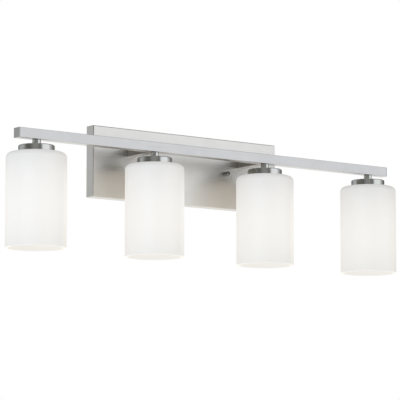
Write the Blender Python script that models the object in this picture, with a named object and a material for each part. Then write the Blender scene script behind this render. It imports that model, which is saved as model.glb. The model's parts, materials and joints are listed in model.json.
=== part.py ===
# Four-lamp vanity light bar, after the way such a fixture is built: a folded back plate hung on a
# wall strap, two square arms, one square bar, and four opal glass shades clamped to their sockets.
# Metres. X runs along the bar, Y goes into the wall, Z is up. The wall is the plane Y = 0, and the
# back plate is centred on the origin.
import math

import bmesh
import bpy
from mathutils import Matrix, Vector

GAP = 0.0003                 # between two pieces that touch
TUBE_WALL = 0.0012
SHEET = 0.0012
DRILL = 0.010                # length of a cutter that goes through sheet or strap

PLATE_WIDTH = 0.385
PLATE_HEIGHT = 0.120
PLATE_DEPTH = 0.020
PLATE_CORNER = 0.0007

BAR_SIDE = 0.0163            # outside of the square tube, the same on the bar and the arms
BAR_LENGTH = 0.772
BAR_Y = -0.088               # the bar's axis
BAR_TOP = 0.0289
TUBE_CORNER = 0.0008
END_FLANGE = 0.0012
TONGUE_LENGTH = 0.008
TONGUE_PLACE = 0.005         # middle of the plug's tongue, from the end of the bar
WIRE_HOLE_RADIUS = 0.0045
ARM_WEB = 0.003
ARM_PIPE_LENGTH = 0.011
ARM_PIPE_INSIDE = 0.005      # how far the pipe stands into the pan
ARM_NUT_ACROSS = 0.0172
ARM_NUT_HEIGHT = 0.0035

LAMP_COUNT = 4
LAMP_PITCH = 0.232
NIPPLE_RADIUS = 0.0050       # M10 lamp pipe
NIPPLE_BORE = 0.0036
STEM_RADIUS = 0.0070
STEM_HEIGHT = 0.0095
CAP_RADIUS = 0.02925
CAP_HEIGHT = 0.0111
CAP_ROUND = 0.0018

SHADE_RADIUS = 0.049
SHADE_HEIGHT = 0.1534
SHADE_WALL = 0.004
SHADE_SHOULDER = 0.009
SHADE_HOLE = 0.021
SHADE_LIP = 0.0015

SOCKET_RADIUS = 0.0195
SOCKET_FLANGE = 0.0245
SOCKET_DEPTH = 0.044         # from the inside of the cap down to the socket's mouth
SHELL_RADIUS = 0.0146
SHELL_WALL = 0.0005
SHELL_HOLE = 0.006
SHELL_FOOT = 0.006           # from the socket's mouth up to the shell
RING_RADIUS = 0.0265
RING_HEIGHT = 0.0065
RING_LOOSE = 0.0004

BULB_RADIUS = 0.030
BULB_LENGTH = 0.108
BULB_WALL = 0.001
BULB_NECK = 0.0115
BASE_RADIUS = 0.0130
BASE_LENGTH = 0.0250
BASE_WALL = 0.0006
CONTACT_RADIUS = 0.0045

STUD_X = 0.082
STUD_RADIUS = 0.0023
STUD_REACH = 0.008           # how far a stud stands out of the plate
STUD_NUT_ACROSS = 0.0092
STUD_NUT_HEIGHT = 0.003
CAP_NUT_RADIUS = 0.0040
CAP_NUT_LENGTH = 0.0115
CAP_NUT_BORE = 0.0095
CAP_NUT_NOSE = 0.003
STRAP_LENGTH = 0.190
STRAP_HEIGHT = 0.025
STRAP_THICKNESS = 0.002
BOX_SCREW_X = 0.04445        # half of the 88.9 mm between the screws of an octagon wall box
BOX_SLOT_LENGTH = 0.012
BOX_SLOT_HEIGHT = 0.0048
EARTH_X = 0.020
EARTH_Z = -0.006
EARTH_RADIUS = 0.0020
WIRE_RADIUS = 0.0010
WIRE_STEP = 0.005            # between two rings of a bent wire's mesh
GROUND_RADIUS = 0.0008
PAN_WIRE = 0.0095            # from the plate's front to the wires and connectors in the pan
CONNECTOR_X = -0.050

BAR_BOTTOM = BAR_TOP - BAR_SIDE
BAR_Z = BAR_TOP - BAR_SIDE / 2
ARM_X = LAMP_PITCH / 2
PLATE_FRONT = -PLATE_DEPTH
LAMP_XS = [(index - (LAMP_COUNT - 1) / 2) * LAMP_PITCH for index in range(LAMP_COUNT)]

# Heights inside one lamp, measured down from the bar's underside.
CAP_TOP = -STEM_HEIGHT
CAP_INSIDE = CAP_TOP - SHEET
SHADE_TOP = CAP_TOP - CAP_HEIGHT - GAP
SHADE_INSIDE = SHADE_TOP - SHADE_WALL
SOCKET_TOP = CAP_INSIDE - GAP
SOCKET_MOUTH = SOCKET_TOP - SOCKET_DEPTH
SOCKET_FLOOR = SOCKET_TOP - 0.0135
BASE_TOP = SOCKET_FLOOR - 0.0018
NIPPLE_TOP = 0.0045
NIPPLE_FOOT = SOCKET_TOP - 0.0065

materials = {}


def clear_scene():
    for thing in list(bpy.data.objects):
        bpy.data.objects.remove(thing)


def add_material(name, color, roughness, metallic, alpha=1.0):
    material = bpy.data.materials.new(name)
    material.use_nodes = True
    shader = material.node_tree.nodes["Principled BSDF"]
    shader.inputs["Base Color"].default_value = (*color, 1.0)
    shader.inputs["Roughness"].default_value = roughness
    shader.inputs["Metallic"].default_value = metallic
    shader.inputs["Alpha"].default_value = alpha
    material.diffuse_color = (*color, alpha)
    materials[name] = material


def add_empty(name, location, parent=None):
    empty = bpy.data.objects.new(name, None)
    bpy.context.collection.objects.link(empty)
    empty.location = location
    empty.parent = parent
    return empty


def add_object(name, mesh, material, location=(0, 0, 0), rotation=(0, 0, 0), parent=None):
    thing = bpy.data.objects.new(name, mesh)
    bpy.context.collection.objects.link(thing)
    thing.location = location
    thing.rotation_euler = rotation
    thing.parent = parent
    mesh.materials.clear()
    mesh.materials.append(materials[material])
    return thing


def mesh_from(form, name, smooth=False):
    """Closes the bmesh, turns its faces outwards and returns it as a mesh."""
    bmesh.ops.remove_doubles(form, verts=form.verts, dist=1e-7)
    bmesh.ops.recalc_face_normals(form, faces=form.faces)
    mesh = bpy.data.meshes.new(name)
    form.to_mesh(mesh)
    form.free()
    if smooth:
        mesh.shade_smooth()
        mesh.set_sharp_from_angle(angle=math.radians(35))
    return mesh


def arc(centre, radius, start, end, steps):
    """Points on a circle in the profile plane, from start to end degrees."""
    points = []
    for step in range(steps + 1):
        angle = math.radians(start + (end - start) * step / steps)
        points.append((centre[0] + radius * math.cos(angle), centre[1] + radius * math.sin(angle)))
    return points


def turned(name, profile, segments, closed=True):
    """Spins a profile of (radius, height) points about Z. An open profile starts and ends on the axis."""
    form = bmesh.new()
    rim = [form.verts.new((radius, 0, height)) for radius, height in profile]
    pairs = list(zip(rim, rim[1:]))
    if closed:
        pairs.append((rim[-1], rim[0]))
    edges = [form.edges.new(pair) for pair in pairs]
    bmesh.ops.spin(
        form, geom=rim + edges, cent=(0, 0, 0), axis=(0, 0, 1), angle=math.tau,
        steps=segments, use_merge=True, use_normal_flip=False, use_duplicate=False,
    )
    return mesh_from(form, name, smooth=True)


def washer(name, inner, outer, low, high, segments):
    return turned(name, [(inner, low), (outer, low), (outer, high), (inner, high)], segments)


def block(name, size, centre=(0, 0, 0), bevel=0.0):
    form = bmesh.new()
    bmesh.ops.create_cube(form, size=1.0, matrix=Matrix.Translation(centre) @ Matrix.Diagonal((*size, 1)))
    if bevel:
        bmesh.ops.bevel(form, geom=list(form.edges), offset=bevel, segments=1, affect="EDGES", profile=0.5)
    return mesh_from(form, name)


def rod(name, radius, length, segments, centre=(0, 0, 0), axis="Z", corner=0.0):
    """A closed round or, with six segments, hexagonal bar whose middle is at centre."""
    form = bmesh.new()
    turn = {"X": Matrix.Rotation(math.pi / 2, 4, "Y"), "Y": Matrix.Rotation(math.pi / 2, 4, "X")}
    place = Matrix.Translation(centre) @ turn.get(axis, Matrix.Identity(4))
    bmesh.ops.create_cone(form, cap_ends=True, segments=segments, radius1=radius, radius2=radius,
                          depth=length, matrix=place)
    if corner:
        ends = [edge for edge in form.edges if any(len(face.verts) > 4 for face in edge.link_faces)]
        bmesh.ops.bevel(form, geom=ends, offset=corner, segments=1, affect="EDGES")
    return mesh_from(form, name, smooth=segments > 6)


def cutter(name, mesh):
    tool = bpy.data.objects.new(name, mesh)
    bpy.context.collection.objects.link(tool)
    tool.hide_render = True
    tool.display_type = "WIRE"
    return tool


def cut(thing, mesh, operation="DIFFERENCE", local=False):
    """Cuts the mesh out of the object. Its points are world ones, or the object's own where local is set."""
    tool = cutter("tool_" + mesh.name, mesh)
    if local:
        tool.parent = thing
    change = thing.modifiers.new(mesh.name, "BOOLEAN")
    change.operation = operation
    change.object = tool


def rounded_square(half, corner):
    """Corner points of a square with rounded corners, counter-clockwise."""
    reach = half - corner
    points = []
    for quarter, (across, up) in enumerate([(1, 1), (-1, 1), (-1, -1), (1, -1)]):
        points += arc((across * reach, up * reach), corner, 90 * quarter, 90 * quarter + 90, 2)
    return points


def square_tube(name, length, middle):
    """A square tube along Y about the origin's axis, open at both ends, its middle at y = middle."""
    form = bmesh.new()
    loops = []
    half = BAR_SIDE / 2
    for size, corner in ((half, TUBE_CORNER), (half - TUBE_WALL, TUBE_CORNER / 2)):
        for end in (middle - length / 2, middle + length / 2):
            loops.append([form.verts.new((x, end, z)) for x, z in rounded_square(size, corner)])
    outer_near, outer_far, inner_near, inner_far = loops
    for one, other in ((outer_near, outer_far), (inner_near, inner_far), (outer_near, inner_near),
                       (outer_far, inner_far)):
        for index, corner in enumerate(one):
            previous = index - 1
            form.faces.new((one[previous], corner, other[index], other[previous]))
    return mesh_from(form, name)


def smooth_route(stops, step):
    """Points a step apart along the smooth curve through the stops (Catmull-Rom)."""
    stops = [Vector(stop) for stop in stops]
    padded = [2 * stops[0] - stops[1], *stops, 2 * stops[-1] - stops[-2]]
    route = [stops[0]]
    for before, start, end, after in zip(padded, padded[1:], padded[2:], padded[3:]):
        count = max(1, round((end - start).length / step))
        for index in range(1, count + 1):
            t = index / count
            point = 2 * start + (end - before) * t
            point += (2 * before - 5 * start + 4 * end - after) * t ** 2
            point += (3 * start - before - 3 * end + after) * t ** 3
            route.append(point / 2)
    return route


def wire_mesh(name, stops, step, radius=WIRE_RADIUS):
    """A round wire along the smooth curve through the stops, with capped ends."""
    curve = bpy.data.curves.new(name, "CURVE")
    curve.dimensions = "3D"
    curve.bevel_depth = radius
    curve.bevel_resolution = 1
    curve.use_fill_caps = True
    route = smooth_route(stops, step)
    spline = curve.splines.new("POLY")
    spline.points.add(len(route) - 1)
    for point, place in zip(spline.points, route):
        point.co = (*place, 1)
    guide = bpy.data.objects.new(name, curve)
    bpy.context.collection.objects.link(guide)
    bpy.context.view_layer.update()
    mesh = bpy.data.meshes.new_from_object(guide)
    bpy.data.objects.remove(guide)
    form = bmesh.new()
    form.from_mesh(mesh)
    bpy.data.meshes.remove(mesh)
    return mesh_from(form, name, smooth=True)


def add_hex_nut(name, hole, across, height, location, parent):
    """A hexagon nut whose axis is Y, standing towards the room from its location."""
    body = rod(name, across / 2, height, 6, (0, 0, height / 2))
    nut = add_object(name, body, "zinc plated steel", location, (math.pi / 2, 0, 0), parent)
    cut(nut, rod(name + "_hole", hole, 3 * height, 12), local=True)


def make_back_plate(frame):
    """A pan folded from sheet, open to the wall, with holes for the arms' pipes and for the studs."""
    shell = block("back_plate", (PLATE_WIDTH, PLATE_DEPTH, PLATE_HEIGHT), (0, -PLATE_DEPTH / 2, 0),
                  PLATE_CORNER)
    plate = add_object("back_plate", shell, "satin nickel", parent=frame)
    hollow = (PLATE_WIDTH - 2 * SHEET, PLATE_DEPTH, PLATE_HEIGHT - 2 * SHEET)
    cut(plate, block("pan_hollow", hollow, (0, SHEET - PLATE_DEPTH / 2, 0)))
    for side in (-1, 1):
        cut(plate, rod("pipe_hole", NIPPLE_RADIUS + GAP, DRILL, 16, (side * ARM_X, PLATE_FRONT, BAR_Z), "Y"))
        cut(plate, rod("stud_hole", STUD_RADIUS + 2 * GAP, DRILL, 12, (side * STUD_X, PLATE_FRONT, 0), "Y"))


def make_wall_strap(frame):
    """The flat steel strap that screws to the wall box, with its studs, lock nuts and earth screw."""
    size = (STRAP_LENGTH, STRAP_THICKNESS, STRAP_HEIGHT)
    flat = block("mounting_strap", size, (0, -STRAP_THICKNESS / 2, 0), GAP)
    strap = add_object("mounting_strap", flat, "zinc plated steel", parent=frame)
    for side in (-1, 1):
        slot_size = (BOX_SLOT_LENGTH, DRILL, BOX_SLOT_HEIGHT)
        cut(strap, block("box_screw_slot", slot_size, (side * BOX_SCREW_X, 0, 0)))
        cut(strap, rod("strap_stud_hole", STUD_RADIUS + GAP, DRILL, 12, (side * STUD_X, 0, 0), "Y"))
    earth = (EARTH_X, -STRAP_THICKNESS, EARTH_Z)
    cut(strap, rod("earth_hole", EARTH_RADIUS + GAP, DRILL, 12, earth, "Y"))

    for side, word in ((-1, "left"), (1, "right")):
        anchor = add_empty(f"stud_axis_{word}", (side * STUD_X, 0, 0), frame)
        reach = PLATE_DEPTH + STUD_REACH
        stud = rod(f"plate_stud_{word}", STUD_RADIUS, reach, 12, (0, -reach / 2 - GAP, 0), "Y", 0.0004)
        add_object(f"plate_stud_{word}", stud, "zinc plated steel", parent=anchor)
        add_hex_nut(f"stud_nut_{word}", STUD_RADIUS + GAP, STUD_NUT_ACROSS, STUD_NUT_HEIGHT,
                    (0, -STRAP_THICKNESS - GAP, 0), anchor)
        make_cap_nut(word, anchor)

    screw = turned("ground_screw", screw_profile(), 12, closed=False)
    add_object("ground_screw", screw, "green screw", earth, (math.pi / 2, 0, 0), frame)


def screw_profile():
    """The earth screw's pan head above the strap and its shank in it, from the top down."""
    head = 0.0038
    height = 0.0022
    shank = -0.8 * STRAP_THICKNESS
    return [
        (0, height), (head - 0.0012, height), (head, height - 0.0010), (head, GAP), (EARTH_RADIUS, GAP),
        (EARTH_RADIUS, shank), (0, shank),
    ]


def make_cap_nut(word, anchor):
    """A blind round nut with a domed nose, which pulls the plate against the wall."""
    shoulder = (CAP_NUT_RADIUS - CAP_NUT_NOSE, CAP_NUT_LENGTH - CAP_NUT_NOSE)
    profile = [(STUD_RADIUS + GAP, 0), (CAP_NUT_RADIUS, 0)]
    profile += arc(shoulder, CAP_NUT_NOSE, 0, 90, 4)
    profile += [(0, CAP_NUT_LENGTH), (0, CAP_NUT_BORE), (STUD_RADIUS + GAP, CAP_NUT_BORE)]
    add_object(f"cap_nut_{word}", turned(f"cap_nut_{word}", profile, 16), "satin nickel",
               (0, PLATE_FRONT - GAP, 0), (math.pi / 2, 0, 0), anchor)


def make_arms(frame):
    """Two square arms, each closed at the wall end by a tapped web that its pipe screws into."""
    front = BAR_Y + BAR_SIDE / 2 + GAP
    back = PLATE_FRONT - GAP
    inner_face = PLATE_FRONT + SHEET
    overlap = 0.0002             # of the web with the tube's walls, and its distance from the tube's end
    web_side = BAR_SIDE - 2 * TUBE_WALL + 2 * overlap
    for side, word in ((-1, "left"), (1, "right")):
        anchor = add_empty(f"arm_axis_{word}", (side * ARM_X, 0, BAR_Z), frame)
        tube = square_tube(f"arm_{word}", back - front, (front + back) / 2)
        arm = add_object(f"arm_{word}", tube, "satin nickel", parent=anchor)
        web_place = (side * ARM_X, back - ARM_WEB / 2 - overlap, BAR_Z)
        cut(arm, block(f"web_{word}", (web_side, ARM_WEB, web_side), web_place), "UNION")
        cut(arm, rod(f"web_hole_{word}", NIPPLE_RADIUS + GAP, DRILL, 16, web_place, "Y"))

        pipe = washer(f"arm_pipe_{word}", NIPPLE_BORE, NIPPLE_RADIUS, 0, ARM_PIPE_LENGTH, 16)
        add_object(f"arm_pipe_{word}", pipe, "zinc plated steel", (0, inner_face + ARM_PIPE_INSIDE, 0),
                   (math.pi / 2, 0, 0), anchor)
        add_hex_nut(f"arm_nut_{word}", NIPPLE_RADIUS + GAP, ARM_NUT_ACROSS, ARM_NUT_HEIGHT,
                    (0, inner_face + GAP + ARM_NUT_HEIGHT, 0), anchor)


def make_bar(frame):
    """The square bar with its lamp holes and wire holes, and a flanged plug in each end."""
    axis = add_empty("bar_axis", (0, BAR_Y, BAR_Z), frame)
    tube_length = BAR_LENGTH - 2 * (END_FLANGE + GAP)
    tube = square_tube("light_bar", tube_length, 0)
    tube.transform(Matrix.Rotation(math.pi / 2, 4, "Z"))
    bar = add_object("light_bar", tube, "satin nickel", parent=axis)
    for lamp, x in enumerate(LAMP_XS, 1):
        hole = rod(f"lamp_hole_{lamp}", NIPPLE_RADIUS + GAP, BAR_SIDE / 2, 16, (x, BAR_Y, BAR_BOTTOM), "Z")
        cut(bar, hole)

    back = BAR_Y + BAR_SIDE / 2
    insert = BAR_SIDE - 2 * (TUBE_WALL + GAP)
    for side, word in ((-1, "left"), (1, "right")):
        behind = (side * ARM_X, back, BAR_Z)
        cut(bar, rod(f"wire_hole_{word}", WIRE_HOLE_RADIUS, BAR_SIDE / 2, 16, behind, "Y"))
        face = block(f"bar_end_plug_{word}", (END_FLANGE, BAR_SIDE, BAR_SIDE), bevel=0.0004)
        plug = add_object(f"bar_end_plug_{word}", face, "satin nickel",
                          (side * (BAR_LENGTH - END_FLANGE) / 2, 0, 0), parent=axis)
        tongue = block(f"tongue_{word}", (TONGUE_LENGTH, insert, insert),
                       (side * (BAR_LENGTH / 2 - TONGUE_PLACE), BAR_Y, BAR_Z))
        cut(plug, tongue, "UNION")


def shade_profile():
    """Outside from the hole over the shoulder to the rim, then back up the inside."""
    outer = SHADE_RADIUS
    inner = SHADE_RADIUS - SHADE_WALL
    top = SHADE_TOP
    foot = SHADE_TOP - SHADE_HEIGHT
    corner = SHADE_SHOULDER - SHADE_WALL
    lip = SHADE_LIP
    points = [(SHADE_HOLE, top)]
    points += reversed(arc((outer - SHADE_SHOULDER, top - SHADE_SHOULDER), SHADE_SHOULDER, 0, 90, 3))
    points += [(outer, foot + lip), (outer - lip, foot), (inner + lip, foot), (inner, foot + lip)]
    points += arc((inner - corner, top - SHADE_WALL - corner), corner, 0, 90, 2)
    points.append((SHADE_HOLE, top - SHADE_WALL))
    return points


def cap_profile():
    """A shallow cup, open below, with a rounded top edge and a hole for the lamp pipe."""
    foot = CAP_TOP - CAP_HEIGHT
    inner = CAP_RADIUS - SHEET
    points = [(NIPPLE_RADIUS + GAP, CAP_TOP)]
    points += reversed(arc((CAP_RADIUS - CAP_ROUND, CAP_TOP - CAP_ROUND), CAP_ROUND, 0, 90, 3))
    points += [(CAP_RADIUS, foot), (inner, foot), (inner, CAP_INSIDE - 0.001), (inner - 0.001, CAP_INSIDE)]
    points.append((NIPPLE_RADIUS + GAP, CAP_INSIDE))
    return points


def socket_profile():
    """Porcelain lampholder: a flange above the glass, a threaded barrel through it, and a deep bore."""
    flange_foot = SHADE_TOP + GAP
    bore = SHELL_RADIUS + GAP
    return [
        (NIPPLE_RADIUS + GAP, SOCKET_TOP), (SOCKET_FLANGE, SOCKET_TOP), (SOCKET_FLANGE, flange_foot),
        (SOCKET_RADIUS, flange_foot), (SOCKET_RADIUS, SOCKET_MOUTH), (bore, SOCKET_MOUTH),
        (bore, SOCKET_FLOOR), (NIPPLE_BORE, SOCKET_FLOOR), (NIPPLE_BORE, NIPPLE_FOOT - GAP),
        (NIPPLE_RADIUS + GAP, NIPPLE_FOOT - GAP),
    ]


def shell_profile():
    """The brass screw shell inside the lampholder, open below, with a hole where the contact stands."""
    top = SOCKET_FLOOR - GAP
    foot = SOCKET_MOUTH + SHELL_FOOT
    outer = SHELL_RADIUS
    inner = SHELL_RADIUS - SHELL_WALL
    return [(SHELL_HOLE, top), (outer, top), (outer, foot), (inner, foot), (inner, top - SHELL_WALL),
            (SHELL_HOLE, top - SHELL_WALL)]


def bulb_profile():
    """A pear-shaped glass shell, 1 mm thick, open at its neck where the base holds it."""
    base_foot = BASE_TOP - BASE_LENGTH
    centre = BASE_TOP - BULB_LENGTH + BULB_RADIUS
    ball = arc((0, centre), BULB_RADIUS, -90, 50, 7)
    outside = [*ball, (BULB_NECK + 0.0045, base_foot - 0.010), (BULB_NECK, base_foot),
               (BULB_NECK, base_foot + 0.006)]
    inside = []
    for radius, height in outside:
        tip = BULB_WALL if radius < BULB_WALL else 0
        inside.append((max(0.0, radius - BULB_WALL), height + tip))
    return outside + inside[::-1]


def base_profile():
    """The bulb's screw base, a brass cup closed above by its contact and open towards the glass."""
    foot = BASE_TOP - BASE_LENGTH
    outer = BASE_RADIUS
    inner = BASE_RADIUS - BASE_WALL
    ceiling = BASE_TOP - 0.0050
    return [
        (0, BASE_TOP), (CONTACT_RADIUS, BASE_TOP), (CONTACT_RADIUS + 0.0005, BASE_TOP - 0.0015),
        (outer - 0.002, BASE_TOP - 0.004), (outer, BASE_TOP - 0.006), (outer, foot), (inner, foot),
        (inner, ceiling - 0.0015), (outer - 0.003, ceiling), (0, ceiling),
    ]


def make_lamps(frame):
    """The four lamps, each hung from an empty on its own axis at the bar's underside."""
    ring_top = SHADE_INSIDE - GAP
    ring_foot = ring_top - RING_HEIGHT
    screw_hole = NIPPLE_RADIUS + GAP
    ring_hole = SOCKET_RADIUS + RING_LOOSE
    pieces = [
        ("stem", washer("stem", screw_hole, STEM_RADIUS, CAP_TOP + GAP, -GAP, 16), "polished nickel"),
        ("nipple", washer("nipple", NIPPLE_BORE, NIPPLE_RADIUS, NIPPLE_FOOT, NIPPLE_TOP, 12),
         "zinc plated steel"),
        ("fitter_cap", turned("fitter_cap", cap_profile(), 20), "polished nickel"),
        ("socket", turned("socket", socket_profile(), 16), "porcelain"),
        ("socket_shell", turned("socket_shell", shell_profile(), 16), "brass"),
        ("shade_ring", washer("shade_ring", ring_hole, RING_RADIUS, ring_foot, ring_top, 16), "aluminium"),
        ("shade", turned("shade", shade_profile(), 32), "opal glass"),
        ("bulb_glass", turned("bulb_glass", bulb_profile(), 12), "frosted glass"),
        ("bulb_base", turned("bulb_base", base_profile(), 12), "brass"),
    ]
    for lamp, x in enumerate(LAMP_XS, 1):
        axis = add_empty(f"lamp_axis_{lamp}", (x, BAR_Y, BAR_BOTTOM), frame)
        for word, mesh, material in pieces:
            add_object(f"{word}_{lamp}", mesh.copy(), material, parent=axis)


def feed_route(x, outward, arm_z, nut_z, trunk_y, trunk_z):
    """From the connector through the pan, into the arm's pipe and through the arm to the bar."""
    pan_y = PLATE_FRONT + PAN_WIRE
    pipe_mouth = PLATE_FRONT + SHEET + ARM_PIPE_INSIDE
    return [
        (CONNECTOR_X - 0.014, pan_y, nut_z),
        (CONNECTOR_X - 0.034 - 2 * outward, pan_y, nut_z + 0.001),
        (x - outward / 2 + 0.002, pan_y + 0.002, nut_z + 0.017 + outward),
        (x, pipe_mouth + 0.0078, arm_z - 0.0080),
        (x, pipe_mouth + 0.0060, arm_z - 0.0013),
        (x, pipe_mouth + 0.0016, arm_z),
        (x, PLATE_FRONT, arm_z),
        (x, PLATE_FRONT - 0.012, arm_z),
        (x, BAR_Y + BAR_SIDE, arm_z),
        (x, trunk_y + 0.0025, arm_z + 0.0002),
        (x, trunk_y, trunk_z),
    ]


def make_wiring(frame):
    """Two supply wires from their twist-on connectors, up the left arm and along the bar to each lamp."""
    trunk_z = BAR_Z + 0.0025
    foot = BAR_BOTTOM + NIPPLE_FOOT + 0.001
    reach = LAMP_XS[-1] + 0.004
    wires = (
        # name, side of the pipe it runs on, bow in the pan, y in the bar, height in the arm and the pan
        ("black", -1, 0.004, BAR_Y - 0.0035, BAR_Z - 0.0015, -0.046),
        ("white", 1, 0.0, BAR_Y + 0.0035, BAR_Z + 0.0005, -0.028),
    )
    for color, side, outward, trunk_y, arm_z, nut_z in wires:
        shift = side * 0.0017
        name = f"{color}_harness"
        feed = feed_route(-ARM_X + shift, outward, arm_z, nut_z, trunk_y, trunk_z)
        harness = add_object(name, wire_mesh(name, feed, WIRE_STEP), f"{color} wire", parent=frame)
        trunk = [(x, trunk_y, trunk_z) for x in (-reach, 0, reach)]
        cut(harness, wire_mesh(f"{color}_trunk", trunk, reach), "UNION")
        for lamp, lamp_x in enumerate(LAMP_XS, 1):
            x = lamp_x + shift
            drop = [(x, trunk_y, trunk_z + 0.0003), (x, (trunk_y + BAR_Y) / 2, trunk_z - 0.0016),
                    (x, BAR_Y, trunk_z - 0.0060), (x, BAR_Y, foot)]
            cut(harness, wire_mesh(f"{color}_drop_{lamp}", drop, 0.003), "UNION")
        connector = turned(f"wire_nut_{color}", connector_profile(), 12)
        add_object(f"wire_nut_{color}", connector, f"{color} connector",
                   (CONNECTOR_X, PLATE_FRONT + PAN_WIRE, nut_z), (0, math.pi / 2, 0), frame)
    make_ground_wire(frame)


def connector_profile():
    """A twist-on connector: a blunt cone with a deep hollow for the wires."""
    half = 0.011
    wide = 0.0055
    return [(0, half), (wide - 0.002, half), (wide, 0.002 - half), (wide, -half), (wide - 0.0025, -half),
            (0.0022, half - 0.005), (0, half - 0.005)]


def make_ground_wire(frame):
    """The bare wire from the earth screw to the inside of the pan."""
    start_y = -STRAP_THICKNESS - 0.0036
    middle_y = start_y - 0.004
    plate_y = PLATE_FRONT + SHEET + 0.0016
    route = [
        (EARTH_X, start_y - 0.0004, EARTH_Z), (0.028, start_y - 0.002, -0.018), (0.048, middle_y, -0.027),
        (0.078, middle_y, -0.022), (0.099, plate_y + 0.0032, -0.004), (0.104, plate_y, 0.006),
    ]
    wire = wire_mesh("ground_wire", route, WIRE_STEP, GROUND_RADIUS)
    add_object("ground_wire", wire, "copper", parent=frame)


def main():
    clear_scene()
    add_material("satin nickel", (0.56, 0.56, 0.55), 0.32, 1.0)
    add_material("polished nickel", (0.52, 0.52, 0.51), 0.16, 1.0)
    add_material("zinc plated steel", (0.55, 0.57, 0.60), 0.35, 1.0)
    add_material("aluminium", (0.75, 0.76, 0.77), 0.35, 1.0)
    add_material("brass", (0.70, 0.50, 0.22), 0.30, 1.0)
    add_material("copper", (0.80, 0.42, 0.28), 0.30, 1.0)
    add_material("green screw", (0.10, 0.35, 0.12), 0.40, 0.6)
    add_material("porcelain", (0.88, 0.87, 0.84), 0.25, 0.0)
    add_material("opal glass", (0.93, 0.93, 0.91), 0.35, 0.0)
    add_material("frosted glass", (0.95, 0.94, 0.90), 0.50, 0.0)
    add_material("black wire", (0.03, 0.03, 0.03), 0.45, 0.0)
    add_material("white wire", (0.85, 0.85, 0.83), 0.45, 0.0)
    add_material("black connector", (0.75, 0.35, 0.05), 0.45, 0.0)
    add_material("white connector", (0.80, 0.65, 0.08), 0.45, 0.0)

    frame = add_empty("wall_frame", (0, 0, 0))
    make_back_plate(frame)
    make_wall_strap(frame)
    make_arms(frame)
    make_bar(frame)
    make_lamps(frame)
    make_wiring(frame)


main()
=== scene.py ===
# The looks of a four-lamp vanity light bar: brushed nickel, satin opal glass and lit lamps, built as
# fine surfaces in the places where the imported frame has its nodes. Metres, Z up, the wall at y = 0.
import json
import math

import bmesh
import bpy
import numpy as np
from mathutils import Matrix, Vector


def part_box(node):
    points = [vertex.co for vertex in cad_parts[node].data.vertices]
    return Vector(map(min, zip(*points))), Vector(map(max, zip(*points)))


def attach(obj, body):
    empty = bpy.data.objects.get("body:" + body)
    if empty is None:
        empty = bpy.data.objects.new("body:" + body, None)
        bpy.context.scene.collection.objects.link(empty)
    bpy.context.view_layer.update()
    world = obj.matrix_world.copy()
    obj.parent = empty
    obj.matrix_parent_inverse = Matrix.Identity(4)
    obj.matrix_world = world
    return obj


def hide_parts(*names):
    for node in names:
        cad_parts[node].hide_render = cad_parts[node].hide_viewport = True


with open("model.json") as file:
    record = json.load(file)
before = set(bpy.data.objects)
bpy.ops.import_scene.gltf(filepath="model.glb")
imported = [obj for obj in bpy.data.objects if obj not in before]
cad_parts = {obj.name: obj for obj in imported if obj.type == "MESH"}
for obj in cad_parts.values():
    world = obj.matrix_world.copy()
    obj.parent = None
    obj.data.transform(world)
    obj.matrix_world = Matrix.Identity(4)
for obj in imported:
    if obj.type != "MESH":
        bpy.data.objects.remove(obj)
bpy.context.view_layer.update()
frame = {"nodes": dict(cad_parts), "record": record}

scene = bpy.context.scene
lampCount = 4
sides = ("left", "right")
gap = 0.0003          # clearance between pieces that touch, the same as in the frame
fullTurn = 2 * math.pi
print("frame loaded:", len(frame["nodes"]), "nodes")


studio = {
    "cameraPlace": (-2.3883, -3.2521, -0.563),
    "cameraTurn": 36.785,        # degrees from the wall's normal towards +X
    "cameraTilt": 7.2607,        # degrees above level: the fixture is seen from slightly below
    "lens": 214.24,
    "sensor": 36.0,
    "surroundings": (0.15, 0.155, 0.155),
    # azimuth and elevation of each soft box's middle and its half sizes, in degrees, and its radiance
    "softBoxes": (
        {"azimuth": -61, "halfWidth": 27, "elevation": 12, "halfHeight": 26, "edge": 8,
         "light": (1.08, 1.14, 1.23)},
        {"azimuth": -22, "halfWidth": 12, "elevation": 8, "halfHeight": 18, "edge": 16,
         "light": (0.58, 0.60, 0.64)},
        {"azimuth": 128, "halfWidth": 30, "elevation": 5, "halfHeight": 30, "edge": 18,
         "light": (0.44, 0.475, 0.50)},
        {"azimuth": -128, "halfWidth": 22, "elevation": 0, "halfHeight": 20, "edge": 14,
         "light": (0.20, 0.205, 0.21)},
        {"azimuth": 55, "halfWidth": 24, "elevation": -12, "halfHeight": 16, "edge": 7,
         "light": (0.85, 0.86, 0.88)},
        {"azimuth": 0, "halfWidth": 180, "elevation": 90, "halfHeight": 26, "edge": 10,
         "light": (0.6, 0.61, 0.62)},
    ),
    "fillPlace": (-3.2, -1.4, 0.3),
    "fillSize": 2.4,
    "fillPower": 58.0,
    "fillColor": (0.80, 0.98, 1.18),
    "floorHeight": -6.0,
    "floorHalf": 60.0,
    "floorCells": 8,
    "floorGlow": 0.95,
}


def hexColor(code):
    # an sRGB hex value as linear light with full alpha
    channels = np.array([int(code[start:start + 2], 16) for start in (0, 2, 4)]) / 255
    linear = np.where(channels <= 0.04045, channels / 12.92, ((channels + 0.055) / 1.055) ** 2.4)
    return (*linear.tolist(), 1.0)


def setInputs(node, links=None, values=None):
    # the linked and the fixed inputs of a node
    for name, value in (values or {}).items():
        node.inputs[name].default_value = value
    for name, socket in (links or {}).items():
        node.id_data.links.new(socket, node.inputs[name])


def addNode(owner, kind, links=None, values=None, **settings):
    # one node of a material or world
    node = owner.node_tree.nodes.new("ShaderNode" + kind)
    for name, value in settings.items():
        setattr(node, name, value)
    setInputs(node, links, values)
    return node


def addObject(name, data):
    item = bpy.data.objects.new(name, data)
    scene.collection.objects.link(item)
    return item


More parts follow.
